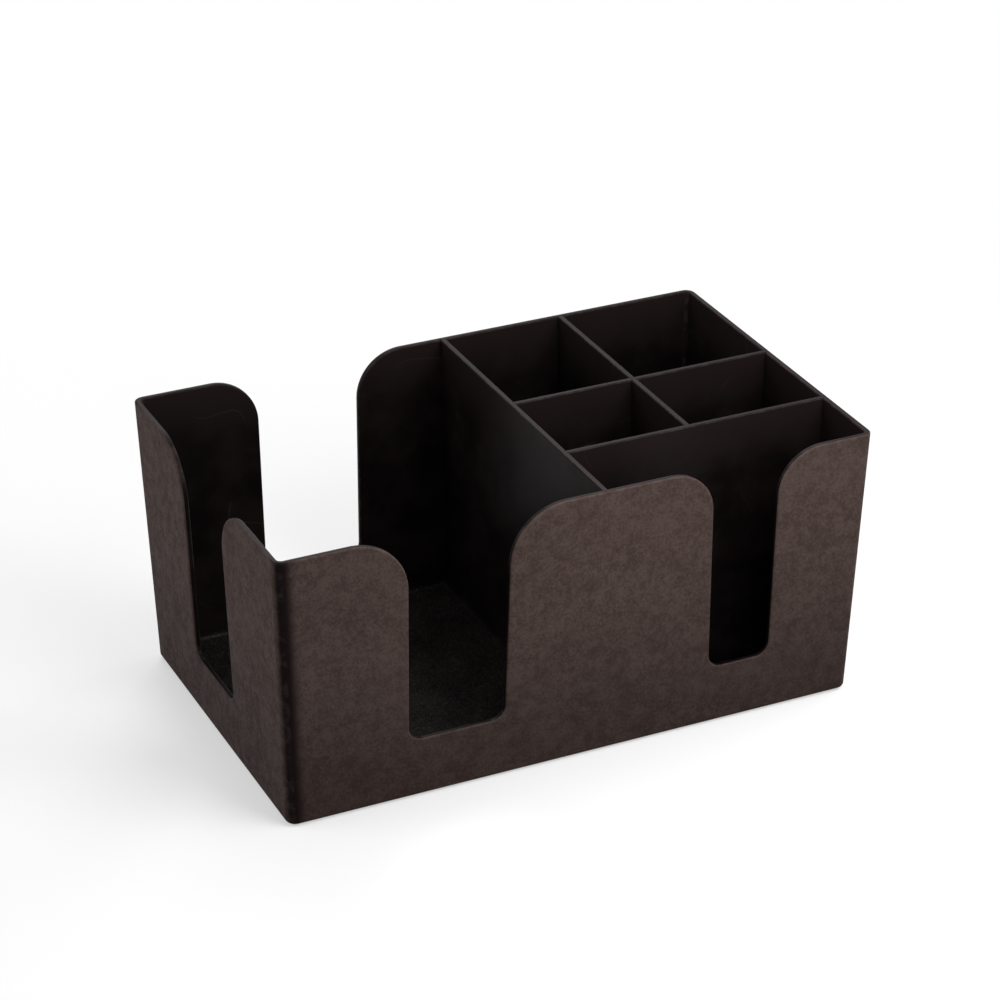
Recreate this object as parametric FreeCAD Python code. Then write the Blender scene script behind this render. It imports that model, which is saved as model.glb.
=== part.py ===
import FreeCAD, Part
import os
from math import cos, radians, sin, tan

from FreeCAD import Vector

# Six-compartment bar caddy, in millimetres.
# +Z is up, +X is right and -Y is the front. The origin is under the middle of the caddy, on the surface that
# it stands on.

# Outside of the moulded shell, measured at the rim
RIM_WIDTH = 241.0
RIM_DEPTH = 146.3
RIM_HEIGHT = 112.1
DRAFT_DEG = 1.9
CORNER_RADIUS = 4.0
BASE_EDGE_RADIUS = 2.0

# Walls and floor of the shell
WALL = 2.4
FLOOR = 3.0
INNER_CORNER_RADIUS = 1.8
FLOOR_EDGE_RADIUS = 1.6
RIM_EDGE_RADIUS = 0.7

# Finger slots, open at the rim. Their sides lean away from the slot's middle, more on the middle panel than
# on the corner posts, and their widths are those at the sill.
SLOT_SILL_HEIGHT = 25.3
SLOT_SILL_RADIUS = 5.5
POST_LEAN_DEG = 0.25
PANEL_LEAN_DEG = 1.1
NAPKIN_SLOT_X = -49.8
FRONT_SLOT_WIDTH = 38.6
FRONT_MOUTH_RADIUS = 22.3
REAR_SLOT_WIDTH = 40.2
REAR_MOUTH_RADIUS = 19.0
LEFT_SLOT_Y = 1.6
LEFT_SLOT_WIDTH = 39.4
LEFT_MOUTH_RADIUS = 21.5
CARD_SLOT_X = 67.5
CARD_SLOT_WIDTH = 25.6
CARD_MOUTH_RADIUS = 18.0

# Partitions inside the shell, placed by the middle of their thickness
PARTITION = 2.4
PARTITION_EDGE_RADIUS = 0.6
DIVIDER_X = 8.9
CARD_BAY_Y = -37.8
COLUMN_X = 60.5
ROW_Y = 7.4

# Locating grooves that hold the partitions
GROOVE_DEPTH = 0.6
GROOVE_CLEARANCE = 0.08

# Underside: a shallow panel inside a standing border, with the mark of the mould's gate
PANEL_DEPTH = 0.6
PANEL_BORDER = 9.0
PANEL_CORNER_RADIUS = 5.0
GATE_DIMPLE_RADIUS = 4.0
GATE_DIMPLE_DEPTH = 0.5

# Non-slip feet in round sockets
FOOT_RADIUS = 7.5
FOOT_THICKNESS = 2.6
FOOT_STAND = 0.6
FOOT_EDGE_RADIUS = 0.5
FOOT_CLEARANCE = 0.2
FOOT_INSET_X = 20.0
FOOT_INSET_Y = 20.0

# Room that a cutting shape takes past the face it cuts
OVERCUT = 5.0

SHELL_BASE_Z = FOOT_STAND
FLOOR_TOP_Z = SHELL_BASE_Z + FLOOR
SLOPE = tan(radians(DRAFT_DEG))


def outside_half(size_at_rim, z):
    """Half of the shell's outside width or depth at a height."""
    return size_at_rim / 2 - (RIM_HEIGHT - z) * SLOPE


def inside_half(size_at_rim, z):
    """Half of the shell's inside width or depth at a height."""
    return outside_half(size_at_rim, z) - WALL


def tapered_block(half_size, z_low, z_high):
    """A block with flat sloping sides. half_size(rim size, z) gives half of its width or depth."""
    rings = []
    for z in (z_low, z_high):
        x = half_size(RIM_WIDTH, z)
        y = half_size(RIM_DEPTH, z)
        rings.append([Vector(-x, -y, z), Vector(x, -y, z), Vector(x, y, z), Vector(-x, y, z)])
    low, high = rings
    outlines = [low[::-1], high]
    for i in range(4):
        j = (i + 1) % 4
        outlines.append([low[i], low[j], high[j], high[i]])
    faces = [Part.Face(Part.makePolygon(points + points[:1])) for points in outlines]
    return Part.Solid(Part.makeShell(faces))


def middle_of(edge):
    """The point half way along an edge."""
    return edge.valueAt((edge.FirstParameter + edge.LastParameter) / 2)


def edges_where(shape, test):
    """The edges of a shape whose ends and middle all pass a test."""
    found = []
    for edge in shape.Edges:
        points = [middle_of(edge)] + [vertex.Point for vertex in edge.Vertexes]
        if all(test(point) for point in points):
            found.append(edge)
    return found


def level_edges(shape, z):
    """The edges of a shape that lie at one height."""
    return edges_where(shape, lambda point: abs(point.z - z) < 1e-4)


def corner_edges(block):
    """The four edges of a block that run from its lower to its upper face."""
    return [edge for edge in block.Edges if abs(edge.Vertexes[0].Z - edge.Vertexes[1].Z) > 1e-4]


def rounded_block(half_size, z_low, z_high, corner_radius, low_edge_radius):
    """A tapered block with rounded corners and a rounded lower edge."""
    block = tapered_block(half_size, z_low, z_high)
    block = block.makeFillet(corner_radius, corner_edges(block))
    return block.makeFillet(low_edge_radius, level_edges(block, z_low))


def arc_points(centre, radius, start_deg, end_deg):
    """The first, middle and last points of an arc, as (across, up)."""
    x, z = centre
    angles = [radians(start_deg), radians((start_deg + end_deg) / 2), radians(end_deg)]
    return [(x + radius * cos(angle), z + radius * sin(angle)) for angle in angles]


def slot_side(half, lean_deg, mouth_radius):
    """A slot's right side from sill to mouth, as runs of two points for a line or three for an arc."""
    lean = radians(lean_deg)
    sill_arc_x = half - SLOT_SILL_RADIUS * (1 - sin(lean)) / cos(lean)
    sill_arc_z = SLOT_SILL_HEIGHT + SLOT_SILL_RADIUS
    mouth_arc_z = RIM_HEIGHT - mouth_radius
    mouth_rise = mouth_arc_z - SLOT_SILL_HEIGHT
    mouth_arc_x = half + (mouth_radius + mouth_rise * sin(lean)) / cos(lean)
    sill_arc = arc_points((sill_arc_x, sill_arc_z), SLOT_SILL_RADIUS, -90, -lean_deg)
    mouth_arc = arc_points((mouth_arc_x, mouth_arc_z), mouth_radius, 180 - lean_deg, 90)
    above = (mouth_arc_x, RIM_HEIGHT + OVERCUT)
    return [sill_arc, [sill_arc[-1], mouth_arc[0]], mouth_arc, [mouth_arc[-1], above]]


def slot_cutter(middle, sill_width, leans, mouth_radius, place):
    """A solid that cuts a slot. leans are those of its left and right sides, and place(across, up) gives the
    two ends of a line through the wall there."""
    left, right = [slot_side(sill_width / 2, lean_deg, mouth_radius) for lean_deg in leans]
    left = [[(-x, z) for x, z in run] for run in left]
    sill = [left[0][0], right[0][0]]
    above = [left[-1][-1], right[-1][-1]]
    runs = left + right + [sill, above]
    edges = []
    for run in runs:
        points = [place(middle + x, z)[0] for x, z in run]
        edges.append(Part.Arc(*points).toShape() if len(points) == 3 else Part.makeLine(*points))
    outline = Part.Wire(Part.__sortEdges__(edges))
    outer, inner = place(middle, SLOT_SILL_HEIGHT)
    return Part.Face(outline).extrude(inner - outer)


def through_wall_y(side):
    """Where a slot in the front (-1) or rear (1) wall starts and ends, for slot_cutter."""
    outer = side * (RIM_DEPTH / 2 + OVERCUT)
    inner = side * (inside_half(RIM_DEPTH, SHELL_BASE_Z) - OVERCUT)
    return lambda across, up: (Vector(across, outer, up), Vector(across, inner, up))


def through_left_wall():
    """Where a slot in the left wall starts and ends, for slot_cutter."""
    outer = -(RIM_WIDTH / 2 + OVERCUT)
    inner = -(inside_half(RIM_WIDTH, SHELL_BASE_Z) - OVERCUT)
    return lambda across, up: (Vector(outer, across, up), Vector(inner, across, up))


def slot_cutters():
    """The four finger slots: three round the wide bay, and one at the narrow bay along the front."""
    post = POST_LEAN_DEG
    panel = PANEL_LEAN_DEG
    front = through_wall_y(-1)
    rear = through_wall_y(1)
    left = through_left_wall()
    return [
        slot_cutter(NAPKIN_SLOT_X, FRONT_SLOT_WIDTH, (post, panel), FRONT_MOUTH_RADIUS, front),
        slot_cutter(NAPKIN_SLOT_X, REAR_SLOT_WIDTH, (post, panel), REAR_MOUTH_RADIUS, rear),
        slot_cutter(LEFT_SLOT_Y, LEFT_SLOT_WIDTH, (post, post), LEFT_MOUTH_RADIUS, left),
        slot_cutter(CARD_SLOT_X, CARD_SLOT_WIDTH, (panel, post), CARD_MOUTH_RADIUS, front),
    ]


def seat_half(grow):
    """Half sizes of the space that the partitions fill: into the walls by a groove's depth and some growth."""
    return lambda size, z: inside_half(size, z) + GROOVE_DEPTH + grow


def partition_block(x_range, y_range, grow):
    """A partition's block, cut to the sloping walls. grow makes it larger all round, to cut its groove."""
    x_low, x_high = x_range
    y_low, y_high = y_range
    low_z = FLOOR_TOP_Z - GROOVE_DEPTH
    high_z = RIM_HEIGHT + grow
    size = (x_high - x_low + 2 * grow, y_high - y_low + 2 * grow, high_z - low_z)
    block = Part.makeBox(*size, Vector(x_low - grow, y_low - grow, low_z))
    space = tapered_block(seat_half(grow - GROOVE_CLEARANCE), low_z, RIM_HEIGHT + OVERCUT)
    return block.common(space)


def thickness_at(middle):
    """The two faces of a partition about its middle."""
    return (middle - PARTITION / 2, middle + PARTITION / 2)


def past_walls(size_at_rim):
    """A range that reaches through both walls, for the walls' slope to cut."""
    half = size_at_rim / 2
    return (-half, half)


def into(face, direction):
    """How far a partition's end goes into the groove of the partition that it meets."""
    return face + direction * (GROOVE_DEPTH - GROOVE_CLEARANCE)


def partition_ranges():
    """Where each partition lies, as its X and Y ranges."""
    divider_x = thickness_at(DIVIDER_X)
    card_y = thickness_at(CARD_BAY_Y)
    column_x = thickness_at(COLUMN_X)
    row_y = thickness_at(ROW_Y)
    right_wall = RIM_WIDTH / 2
    rear_wall = RIM_DEPTH / 2
    return {
        "napkin_bay_divider": (divider_x, past_walls(RIM_DEPTH)),
        "card_bay_partition": ((into(divider_x[1], -1), right_wall), card_y),
        "column_partition": (column_x, (into(card_y[1], -1), rear_wall)),
        "left_row_partition": ((into(divider_x[1], -1), into(column_x[0], 1)), row_y),
        "right_row_partition": ((into(column_x[1], -1), right_wall), row_y),
    }


# Which partitions end in a groove of which other one
GROOVED_BY = {
    "napkin_bay_divider": ["card_bay_partition", "left_row_partition"],
    "card_bay_partition": ["column_partition"],
    "column_partition": ["left_row_partition", "right_row_partition"],
}


def rounded_top(block):
    """A partition with its two long top edges rounded."""
    long_edges = [edge for edge in level_edges(block, RIM_HEIGHT) if edge.Length > 2 * PARTITION]
    return block.makeFillet(PARTITION_EDGE_RADIUS, long_edges)


def make_partitions():
    """The five partitions, each grooved where others meet it."""
    ranges = partition_ranges()
    made = {}
    for name, (x_range, y_range) in ranges.items():
        made[name] = rounded_top(partition_block(x_range, y_range, 0.0))
    for name, others in GROOVED_BY.items():
        for other in others:
            made[name] = made[name].cut(partition_block(*ranges[other], GROOVE_CLEARANCE))
    return made


def foot_places():
    """The middle of each foot."""
    x = outside_half(RIM_WIDTH, SHELL_BASE_Z) - FOOT_INSET_X
    y = outside_half(RIM_DEPTH, SHELL_BASE_Z) - FOOT_INSET_Y
    return {
        "front_left_foot": (-x, -y),
        "front_right_foot": (x, -y),
        "rear_left_foot": (-x, y),
        "rear_right_foot": (x, y),
    }


def make_foot(x, y):
    """A round pad, with its lower edge rounded, that stands on the surface."""
    pad = Part.makeCylinder(FOOT_RADIUS, FOOT_THICKNESS, Vector(x, y, 0))
    return pad.makeFillet(FOOT_EDGE_RADIUS, level_edges(pad, 0.0))


def foot_socket(x, y):
    """The hole that a foot is seated in, from below."""
    return Part.makeCylinder(FOOT_RADIUS + FOOT_CLEARANCE, FOOT_THICKNESS + OVERCUT, Vector(x, y, -OVERCUT))


def underside_panel():
    """The shallow panel under the floor."""
    half_x = outside_half(RIM_WIDTH, SHELL_BASE_Z) - PANEL_BORDER
    half_y = outside_half(RIM_DEPTH, SHELL_BASE_Z) - PANEL_BORDER
    low_z = SHELL_BASE_Z - OVERCUT
    panel = Part.makeBox(2 * half_x, 2 * half_y, OVERCUT + PANEL_DEPTH, Vector(-half_x, -half_y, low_z))
    return panel.makeFillet(PANEL_CORNER_RADIUS, corner_edges(panel))


def gate_dimple():
    """The round dimple round the mould's gate mark."""
    panel_z = SHELL_BASE_Z + PANEL_DEPTH
    return Part.makeCylinder(GATE_DIMPLE_RADIUS, GATE_DIMPLE_DEPTH + OVERCUT, Vector(0, 0, panel_z - OVERCUT))


def depth_in_wall(point):
    """How far a point lies behind the nearer outside face of the shell."""
    depth_x = outside_half(RIM_WIDTH, point.z) - abs(point.x)
    depth_y = outside_half(RIM_DEPTH, point.z) - abs(point.y)
    return min(depth_x, depth_y)


def rim_edges(shell):
    """The outer and inner edges round the rim and the slots, without the lines that only cross a wall."""
    found = []
    for edge in edges_where(shell, lambda point: point.z > SLOT_SILL_HEIGHT - 0.01):
        halfway_in = abs(depth_in_wall(middle_of(edge)) - WALL / 2) < WALL / 4
        if not (isinstance(edge.Curve, Part.Line) and halfway_in):
            found.append(edge)
    return found


def make_shell():
    """The moulded shell: four walls with their slots, and the floor."""
    outside = rounded_block(outside_half, SHELL_BASE_Z, RIM_HEIGHT, CORNER_RADIUS, BASE_EDGE_RADIUS)
    high_z = RIM_HEIGHT + OVERCUT
    inside = rounded_block(inside_half, FLOOR_TOP_Z, high_z, INNER_CORNER_RADIUS, FLOOR_EDGE_RADIUS)
    shell = outside.cut(inside)
    for cutter in slot_cutters():
        shell = shell.cut(cutter)
    shell = shell.removeSplitter()
    shell = shell.makeFillet(RIM_EDGE_RADIUS, rim_edges(shell))
    for x_range, y_range in partition_ranges().values():
        shell = shell.cut(partition_block(x_range, y_range, GROOVE_CLEARANCE))
    shell = shell.cut(underside_panel())
    shell = shell.cut(gate_dimple())
    for x, y in foot_places().values():
        shell = shell.cut(foot_socket(x, y))
    return shell


def main():
    os.makedirs("parts", exist_ok=True)
    shapes = {"outer_shell": make_shell()}
    shapes.update(make_partitions())
    for name, (x, y) in foot_places().items():
        shapes[name] = make_foot(x, y)
    for name, shape in shapes.items():
        solid = shape.Solids[0]
        print(name, len(shape.Solids), solid.isValid(), round(solid.Volume, 1))
        solid.exportStep(os.path.join("parts", name + ".step"))


main()
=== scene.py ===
from math import cos, radians, sin, tan

import bpy
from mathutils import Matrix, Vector


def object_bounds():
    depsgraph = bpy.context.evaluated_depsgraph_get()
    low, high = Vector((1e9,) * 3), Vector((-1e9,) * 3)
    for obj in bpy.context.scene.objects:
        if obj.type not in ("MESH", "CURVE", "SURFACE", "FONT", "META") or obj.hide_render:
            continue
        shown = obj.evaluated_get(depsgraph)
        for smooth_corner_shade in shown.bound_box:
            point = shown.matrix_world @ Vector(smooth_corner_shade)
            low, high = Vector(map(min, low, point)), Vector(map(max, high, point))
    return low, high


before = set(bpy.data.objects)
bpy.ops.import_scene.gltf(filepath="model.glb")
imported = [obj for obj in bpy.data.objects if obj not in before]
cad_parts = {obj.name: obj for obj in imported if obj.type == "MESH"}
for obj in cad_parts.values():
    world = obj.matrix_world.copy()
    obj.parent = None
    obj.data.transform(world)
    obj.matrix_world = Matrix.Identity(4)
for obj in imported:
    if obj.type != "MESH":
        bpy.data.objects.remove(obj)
cad_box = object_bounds()

# Lengths are in metres, and colours are linear with an alpha of 1.

# The camera stands to the front left and looks down at a point inside the caddy.
VIEW_AZIMUTH = radians(25.16)
VIEW_ELEVATION = radians(27.73)
VIEW_DISTANCE = 1.287
VIEW_AIM = Vector((0.00106, 0.00156, 0.0751))
LENS_MM = 121.0
NEAR_CLIP = 0.05

# Outside of the shell, from the frame's box and its draft, for telling its outer skin from its inner one.
RIM_HALF_X = (cad_box[1].x - cad_box[0].x) / 2
RIM_HALF_Y = (cad_box[1].y - cad_box[0].y) / 2
RIM_Z = cad_box[1].z
WALL_SLOPE = tan(radians(1.9))
CORNER_RADIUS = 0.0040
RIM_EDGE_RADIUS = 0.0007
BAY_FLOOR_Z = 0.0036

# Heights between which the plastic's tone changes: dust on the bay floors, painted shade towards the foot of
# the walls and painted light near the rim.
FLOOR_EDGE_LOW = BAY_FLOOR_Z + 0.0002
FLOOR_EDGE_HIGH = BAY_FLOOR_Z + 0.0030
LOW_SHADE_TOP = 0.075
NEAR_RIM_DEPTH = 0.026

# Plastic. The grained outer skin is brown-black and paler, and the smooth inner skin is nearly black, partly
# for its smooth finish and partly as painted shade inside the hollows.
GRAIN_DARK = (0.0500, 0.0332, 0.0298, 1.0)
GRAIN_LIGHT = (0.0825, 0.0582, 0.0524, 1.0)
# Partly painted shade: these inner colours are far darker than the outer skin's.
SMOOTH_DARK = (0.0042, 0.0030, 0.0030, 1.0)
SMOOTH_LIGHT = (0.0090, 0.0065, 0.0063, 1.0)
# Painted light: the paler tone of the inner faces near the rim.
PAINTED_RIM_LIGHT_TONE = (0.0135, 0.0088, 0.0093, 1.0)
# Painted shade: the dark tone of the band on the left end's corners and of the foot of the walls.
PAINTED_SHADE_TONE = (0.0085, 0.0050, 0.0050, 1.0)
# Pale tone of the scratches, which are wear, and of the rounded edges, which are partly wear and partly
# painted highlight.
WEAR_AND_HIGHLIGHT_TONE = (0.0900, 0.0700, 0.0660, 1.0)
DUST_TONE = (0.1100, 0.1050, 0.1000, 1.0)
PLASTIC_SPECULAR = 0.03
PLASTIC_BUMP = 0.00005

# How much of each tone is laid over the plastic, from 0 to 1.
# Painted shade: share of the dark tone laid towards the foot of the walls.
LOW_SHADE_SHARE = 0.38
SCRATCH_SHARE = 0.12
DUST_SHARE = 0.30
# Share on the rounded edges: partly wear and partly painted highlight.
EDGE_WEAR_AND_HIGHLIGHT_SHARE = 0.20

RUBBER_DARK = (0.018, 0.018, 0.019, 1.0)
RUBBER_DUSTY = (0.060, 0.058, 0.056, 1.0)
RUBBER_DUST_SHARE = 0.5
RUBBER_SPECULAR = 0.3
RUBBER_BUMP = 0.00004

# Noise scales, in lumps per metre.
PEBBLE_SCALE = 1000.0
BLOTCH_SCALE = 800.0
MOTTLE_SCALE = 210.0
CLOUD_SCALE = 60.0
SMOOTH_FINE_SCALE = 2400.0
SMOOTH_CLOUD_SCALE = 55.0
SMOOTH_WAVE_SCALE = 16.0
SCRATCH_SCALE = 24.0
EDGE_PATCH_SCALE = 210.0
RUBBER_GRAIN_SCALE = 1800.0
RUBBER_DUST_SCALE = 260.0

# The floor is pale about the caddy and turns plain white between two distances from its middle.
FLOOR_HALF = 8.0
FLOOR_PALE_WITHIN = 0.18
FLOOR_WHITE_FROM = 0.50
FLOOR_SHOWN = (0.93, 0.93, 0.93, 1.0)
FLOOR_BOUNCE = (0.25, 0.25, 0.25, 1.0)
FLOOR_GLOW = 0.45
WHITE = (1.0, 1.0, 1.0, 1.0)
WORLD_LEVEL = 0.36


class Graph:
    """A material's nodes. An input is given by name or number, as a value or as the output to link."""

    def __init__(self, tree):
        self.tree = tree
        self.tree.nodes.clear()

    def add(self, kind, inputs=None, **settings):
        made = self.tree.nodes.new(kind)
        for name, value in settings.items():
            setattr(made, name, value)
        for key, value in (inputs or {}).items():
            socket = made.inputs[key]
            if isinstance(value, bpy.types.NodeSocket):
                self.tree.links.new(value, socket)
            else:
                socket.default_value = value
        return made

    def math(self, operation, *values):
        return self.add("ShaderNodeMath", dict(enumerate(values)), operation=operation).outputs[0]

    def vector(self, operation, *values):
        return self.add("ShaderNodeVectorMath", dict(enumerate(values)), operation=operation)

    def parts(self, vector):
        return self.add("ShaderNodeSeparateXYZ", {0: vector}).outputs

    def rise(self, value, low, high):
        """0 below low, 1 above high and a smooth rise between them."""
        made = self.add("ShaderNodeMapRange", {"Value": value, "From Min": low, "From Max": high},
                        interpolation_type="SMOOTHSTEP")
        return made.outputs["Result"]

    def fall(self, value, low, high):
        """1 below low, 0 above high and a smooth fall between them."""
        return self.math("SUBTRACT", 1.0, self.rise(value, low, high))

    def noise(self, place, scale, detail=3.0, roughness=0.55):
        made = self.add("ShaderNodeTexNoise", {"Vector": place, "Scale": scale, "Detail": detail,
                                               "Roughness": roughness})
        return made.outputs["Fac"]

    def pebbles(self, place, scale):
        """Rounded grains: 1 at the middle of each and 0 in the lines between them."""
        made = self.add("ShaderNodeTexVoronoi", {"Vector": place, "Scale": scale})
        return self.fall(made.outputs["Distance"], 0.1, 0.7)

    def hairlines(self, place, scale, width):
        """Thin bent scratches, where a slow noise passes its middle value, broken up by a second noise."""
        off_middle = self.math("ABSOLUTE", self.math("SUBTRACT", self.noise(place, scale, 1.0), 0.5))
        broken = self.rise(self.noise(place, 2.3 * scale, 2.0), 0.50, 0.62)
        return self.math("MULTIPLY", self.fall(off_middle, 0.3 * width, width), broken)

    def mix_colour(self, factor, low, high):
        return self.add("ShaderNodeMix", {0: factor, 6: low, 7: high}, data_type="RGBA").outputs[2]

    def mix(self, factor, low, high):
        return self.add("ShaderNodeMix", {0: factor, 2: low, 3: high}, data_type="FLOAT").outputs[0]

    def bump(self, height, distance):
        return self.add("ShaderNodeBump", {"Height": height, "Distance": distance}).outputs["Normal"]

    def tint(self, colour, tone, mask, share):
        """Lays a share of a tone over a colour where a mask is 1."""
        return self.mix_colour(self.math("MULTIPLY", mask, share), colour, tone)


def new_material(name):
    made = bpy.data.materials.new(name)
    made.use_nodes = True
    return made, Graph(made.node_tree)


def finish_surface(graph, colour, roughness, normal, specular):
    """Ends a material in one Principled shader."""
    shader = graph.add("ShaderNodeBsdfPrincipled", {"Base Color": colour, "Roughness": roughness,
                                                    "Normal": normal, "Specular IOR Level": specular})
    graph.add("ShaderNodeOutputMaterial", {"Surface": shader.outputs[0]})


def depths_in_shell(graph, place):
    """How deep a point lies behind the planes of the nearer end wall and of the nearer long wall."""
    x, y, z = graph.parts(place)
    drop = graph.math("MULTIPLY", graph.math("SUBTRACT", RIM_Z, z), WALL_SLOPE)
    across = graph.math("SUBTRACT", graph.math("SUBTRACT", RIM_HALF_X, drop), graph.math("ABSOLUTE", x))
    along = graph.math("SUBTRACT", graph.math("SUBTRACT", RIM_HALF_Y, drop), graph.math("ABSOLUTE", y))
    return across, along


def outer_skin_mask(graph, depths):
    """1 on the shell's outer skin and 0 on its rim, slot faces and inside."""
    short = [graph.math("MAXIMUM", graph.math("SUBTRACT", CORNER_RADIUS, depth), 0.0) for depth in depths]
    squares = [graph.math("MULTIPLY", side, side) for side in short]
    depth = graph.math("SUBTRACT", CORNER_RADIUS, graph.math("SQRT", graph.math("ADD", *squares)))
    return graph.fall(depth, 0.4 * RIM_EDGE_RADIUS, 1.1 * RIM_EDGE_RADIUS)


def facing_parts(graph, coordinates):
    """How far a surface faces along each axis, either way."""
    return graph.parts(graph.vector("ABSOLUTE", coordinates.outputs["Normal"]).outputs[0])


def painted_corner_shade_mask(graph, place, depths, facing):
    """1 on the long walls' half of the two rounded corners at the left end, with soft borders, where a band
    of painted shade is laid.
    """
    near = graph.fall(graph.math("MAXIMUM", *depths), 0.8 * CORNER_RADIUS, 2.0 * CORNER_RADIUS)
    turned = graph.fall(facing[0], 0.70, 0.99)
    at_left = graph.fall(graph.parts(place)[0], -0.01, 0.01)
    return graph.math("MULTIPLY", near, graph.math("MULTIPLY", turned, at_left))


def rounded_edge_mask(graph, facing):
    """1 where a surface faces between the main directions, as rounded edges do, and 0 on walls and floors."""
    most = graph.math("MAXIMUM", graph.math("MAXIMUM", facing[0], facing[1]), facing[2])
    return graph.fall(most, 0.90, 0.985)


def bay_floor_mask(graph, place):
    """1 on the floors of the bays and 0 up the walls."""
    return graph.fall(graph.parts(place)[2], FLOOR_EDGE_LOW, FLOOR_EDGE_HIGH)


def painted_low_shade_mask(graph, place):
    """1 at the foot of the walls and 0 further up, for painted shade that darkens the walls towards the
    bottom.
    """
    return graph.fall(graph.parts(place)[2], 0.0, LOW_SHADE_TOP)


def painted_rim_light_mask(graph, place):
    """1 at the rim and 0 further down, for painted light that makes the inner faces paler towards the top."""
    return graph.rise(graph.parts(place)[2], RIM_Z - NEAR_RIM_DEPTH, RIM_Z)


def grained_skin(graph, place, depths, facing):
    """Colour, roughness and height of the pebbled outer skin, with painted shade at the foot of the walls and
    on the left end's corners.
    """
    blotch = graph.noise(place, BLOTCH_SCALE, 4.0, 0.70)
    mottle = graph.noise(place, MOTTLE_SCALE, 3.0, 0.60)
    cloud = graph.noise(place, CLOUD_SCALE)
    pebble = graph.pebbles(place, PEBBLE_SCALE)
    slow = graph.mix(0.30, mottle, cloud)
    tone = graph.rise(graph.mix(0.50, blotch, slow), 0.38, 0.62)
    smooth_corner_shade = painted_corner_shade_mask(graph, place, depths, facing)
    colour = graph.mix_colour(tone, GRAIN_DARK, GRAIN_LIGHT)
    # Painted shade: the outer walls turn darker towards the bottom.
    colour = graph.tint(colour, PAINTED_SHADE_TONE, painted_low_shade_mask(graph, place), LOW_SHADE_SHARE)
    # Painted shade: a dark band on the left end's corners, where the grain is also lower.
    colour = graph.mix_colour(smooth_corner_shade, colour, PAINTED_SHADE_TONE)
    roughness = graph.mix(tone, 0.70, 0.56)
    height = graph.math("MULTIPLY", graph.math("ADD", pebble, blotch), graph.mix(smooth_corner_shade, 1.0, 0.25))
    return colour, roughness, height


def smooth_skin(graph, place):
    """Colour, roughness and height of the smooth inner skin, with hairline scratches and a little dust. Its
    colour is nearly black, partly for the smooth finish and partly as painted shade, and turns paler near the
    rim as painted light.
    """
    cloud = graph.noise(place, SMOOTH_CLOUD_SCALE, 4.0, 0.6)
    fine = graph.noise(place, SMOOTH_FINE_SCALE, 2.0)
    wave = graph.noise(place, SMOOTH_WAVE_SCALE, 1.0)
    scratch = graph.hairlines(place, SCRATCH_SCALE, 0.004)
    dust = graph.math("MULTIPLY", bay_floor_mask(graph, place), graph.rise(fine, 0.50, 0.66))
    colour = graph.mix_colour(graph.rise(cloud, 0.35, 0.65), SMOOTH_DARK, SMOOTH_LIGHT)
    # Painted light: the inner faces turn paler towards the rim.
    colour = graph.mix_colour(painted_rim_light_mask(graph, place), colour, PAINTED_RIM_LIGHT_TONE)
    colour = graph.tint(colour, WEAR_AND_HIGHLIGHT_TONE, scratch, SCRATCH_SHARE)
    colour = graph.tint(colour, DUST_TONE, dust, DUST_SHARE)
    roughness = graph.math("ADD", graph.mix(cloud, 0.24, 0.44), graph.math("MULTIPLY", scratch, 0.2))
    height = graph.math("ADD", graph.math("MULTIPLY", fine, 0.12), graph.math("MULTIPLY", wave, 2.5))
    return colour, roughness, height


def wear_and_highlight_edges(graph, place, facing, colour):
    """Pales a colour in patches on the rounded edges, partly as wear and partly as painted highlight."""
    patch = graph.rise(graph.noise(place, EDGE_PATCH_SCALE, 4.0, 0.65), 0.44, 0.66)
    pale_edge_patches = graph.math("MULTIPLY", rounded_edge_mask(graph, facing), patch)
    return graph.tint(colour, WEAR_AND_HIGHLIGHT_TONE, pale_edge_patches, EDGE_WEAR_AND_HIGHLIGHT_SHARE)


def shell_plastic():
    """The moulded shell: grained outside and smooth inside."""
    made, graph = new_material("moulded_shell")
    coordinates = graph.add("ShaderNodeTexCoord")
    place = coordinates.outputs["Object"]
    facing = facing_parts(graph, coordinates)
    depths = depths_in_shell(graph, place)
    outer = outer_skin_mask(graph, depths)
    grained = grained_skin(graph, place, depths, facing)
    smooth = smooth_skin(graph, place)
    colour = wear_and_highlight_edges(graph, place, facing, graph.mix_colour(outer, smooth[0], grained[0]))
    roughness = graph.mix(outer, smooth[1], grained[1])
    height = graph.mix(outer, smooth[2], grained[2])
    finish_surface(graph, colour, roughness, graph.bump(height, PLASTIC_BUMP), PLASTIC_SPECULAR)
    return made


def partition_plastic():
    """The partitions: smooth all over."""
    made, graph = new_material("partition_plastic")
    coordinates = graph.add("ShaderNodeTexCoord")
    place = coordinates.outputs["Object"]
    colour, roughness, height = smooth_skin(graph, place)
    colour = wear_and_highlight_edges(graph, place, facing_parts(graph, coordinates), colour)
    finish_surface(graph, colour, roughness, graph.bump(height, PLASTIC_BUMP), PLASTIC_SPECULAR)
    return made


def foot_rubber():
    """Matte black rubber with dust in its pores."""
    made, graph = new_material("foot_rubber")
    place = graph.add("ShaderNodeTexCoord").outputs["Object"]
    grain = graph.noise(place, RUBBER_GRAIN_SCALE, 4.0)
    dust = graph.rise(graph.noise(place, RUBBER_DUST_SCALE, 5.0, 0.7), 0.52, 0.72)
    colour = graph.tint(RUBBER_DARK, RUBBER_DUSTY, dust, RUBBER_DUST_SHARE)
    roughness = graph.mix(grain, 0.7, 0.9)
    finish_surface(graph, colour, roughness, graph.bump(grain, RUBBER_BUMP), RUBBER_SPECULAR)
    return made


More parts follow.
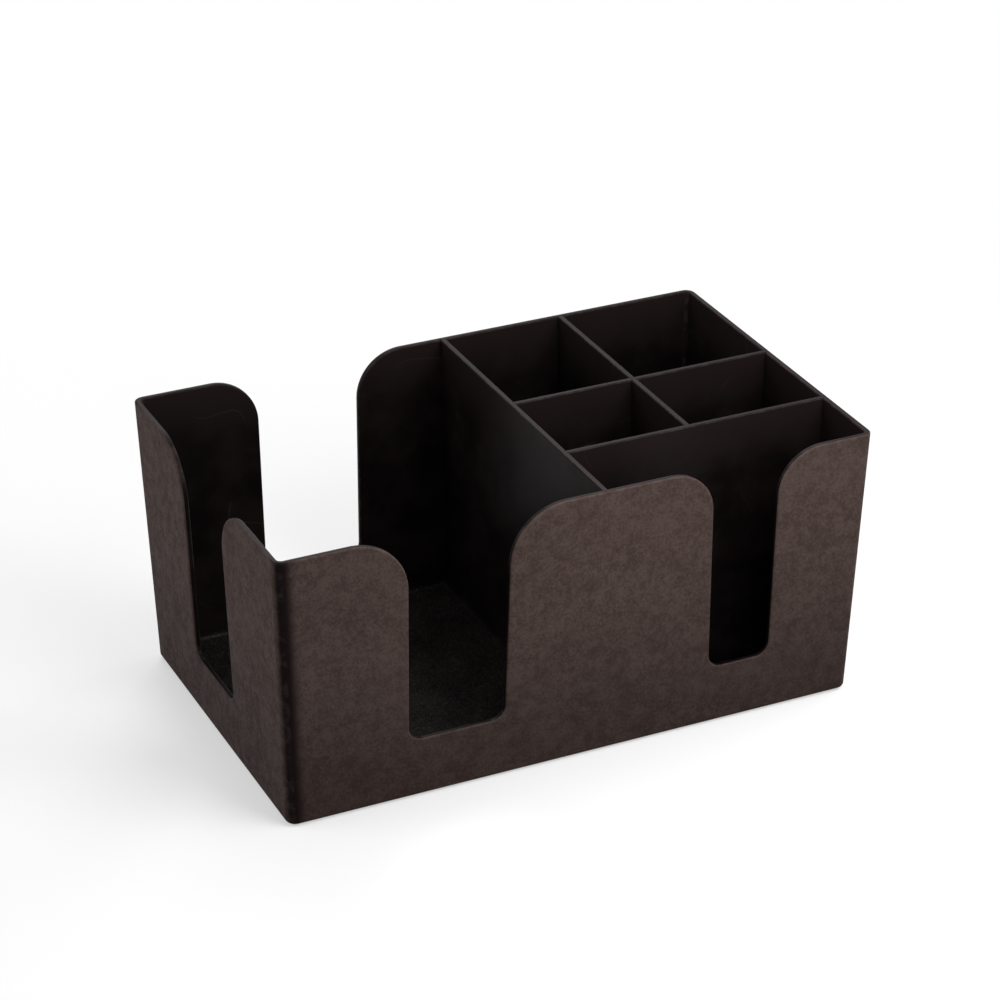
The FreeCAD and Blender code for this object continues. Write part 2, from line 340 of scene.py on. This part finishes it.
def dress_nodes():
    """Gives every CAD node its material."""
    shell = shell_plastic()
    partition = partition_plastic()
    foot = foot_rubber()
    for name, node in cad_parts.items():
        chosen = shell if name == "outer_shell" else foot if name.endswith("_foot") else partition
        node.data.materials.clear()
        node.data.materials.append(chosen)


def seen_directly(graph):
    """1 for rays of the camera, reflections and glass, and 0 for the rays that light the object."""
    path = graph.add("ShaderNodeLightPath").outputs
    seen = graph.math("MAXIMUM", path["Is Camera Ray"], path["Is Glossy Ray"])
    return graph.math("MAXIMUM", seen, path["Is Transmission Ray"])


def make_world():
    """A world that shows white and lights the object at a plain level."""
    world = bpy.data.worlds.new("studio")
    bpy.context.scene.world = world
    world.use_nodes = True
    graph = Graph(world.node_tree)
    level = graph.mix(seen_directly(graph), WORLD_LEVEL, 1.0)
    background = graph.add("ShaderNodeBackground", {"Color": WHITE, "Strength": level})
    graph.add("ShaderNodeOutputWorld", {"Surface": background.outputs[0]})


def floor_white():
    """The floor's material, which keeps the caddy's shadow and bounces less light than it shows."""
    made, graph = new_material("floor_white")
    place = graph.add("ShaderNodeTexCoord").outputs["Object"]
    distance = graph.vector("LENGTH", place).outputs["Value"]
    glow = graph.mix(graph.rise(distance, FLOOR_PALE_WITHIN, FLOOR_WHITE_FROM), FLOOR_GLOW, 1.0)
    shown = graph.add("ShaderNodeBsdfDiffuse", {"Color": FLOOR_SHOWN})
    white = graph.add("ShaderNodeEmission", {"Color": WHITE})
    bounce = graph.add("ShaderNodeBsdfDiffuse", {"Color": FLOOR_BOUNCE})
    seen = graph.add("ShaderNodeMixShader", {0: glow, 1: shown.outputs[0], 2: white.outputs[0]})
    mixed = graph.add("ShaderNodeMixShader", {0: seen_directly(graph), 1: bounce.outputs[0],
                                              2: seen.outputs[0]})
    graph.add("ShaderNodeOutputMaterial", {"Surface": mixed.outputs[0]})
    return made


def make_floor():
    mesh = bpy.data.meshes.new("floor")
    signs = [(-1, -1), (1, -1), (1, 1), (-1, 1)]
    mesh.from_pydata([(x * FLOOR_HALF, y * FLOOR_HALF, 0) for x, y in signs], [], [(0, 1, 2, 3)])
    mesh.materials.append(floor_white())
    floor = bpy.data.objects.new("floor", mesh)
    bpy.context.scene.collection.objects.link(floor)


def outward(azimuth, elevation):
    """A direction out of the caddy. Azimuth 0 points to the front and 90 degrees to the right."""
    return Vector((sin(azimuth) * cos(elevation), -cos(azimuth) * cos(elevation), sin(elevation)))


def place_facing(made, direction, target, distance):
    """Puts a lamp or camera out from a target and turns it to face that target."""
    made.location = target + direction * distance
    made.rotation_euler = direction.to_track_quat("Z", "Y").to_euler()
    bpy.context.scene.collection.objects.link(made)


def make_lamp(name, azimuth_deg, elevation_deg, distance, size, power):
    """A square soft box that faces the caddy."""
    data = bpy.data.lights.new(name, "AREA")
    data.shape = "SQUARE"
    data.size = size
    data.energy = power
    lamp = bpy.data.objects.new(name, data)
    place_facing(lamp, outward(radians(azimuth_deg), radians(elevation_deg)), Vector(), distance)


def make_lamps():
    make_lamp("key_light", azimuth_deg=20, elevation_deg=48, distance=0.44, size=0.29, power=1.43)
    make_lamp("left_light", azimuth_deg=-105, elevation_deg=32, distance=1.10, size=0.60, power=3.0)
    make_lamp("right_light", azimuth_deg=95, elevation_deg=32, distance=1.10, size=0.60, power=3.6)
    make_lamp("rear_light", azimuth_deg=165, elevation_deg=45, distance=1.20, size=0.70, power=5.0)


def make_camera():
    data = bpy.data.cameras.new("camera")
    data.lens = LENS_MM
    data.clip_start = NEAR_CLIP
    camera = bpy.data.objects.new("camera", data)
    place_facing(camera, outward(-VIEW_AZIMUTH, VIEW_ELEVATION), VIEW_AIM, VIEW_DISTANCE)
    bpy.context.scene.camera = camera


make_camera()
make_world()
make_floor()
make_lamps()
dress_nodes()
bpy.context.scene.view_settings.view_transform = "Standard"
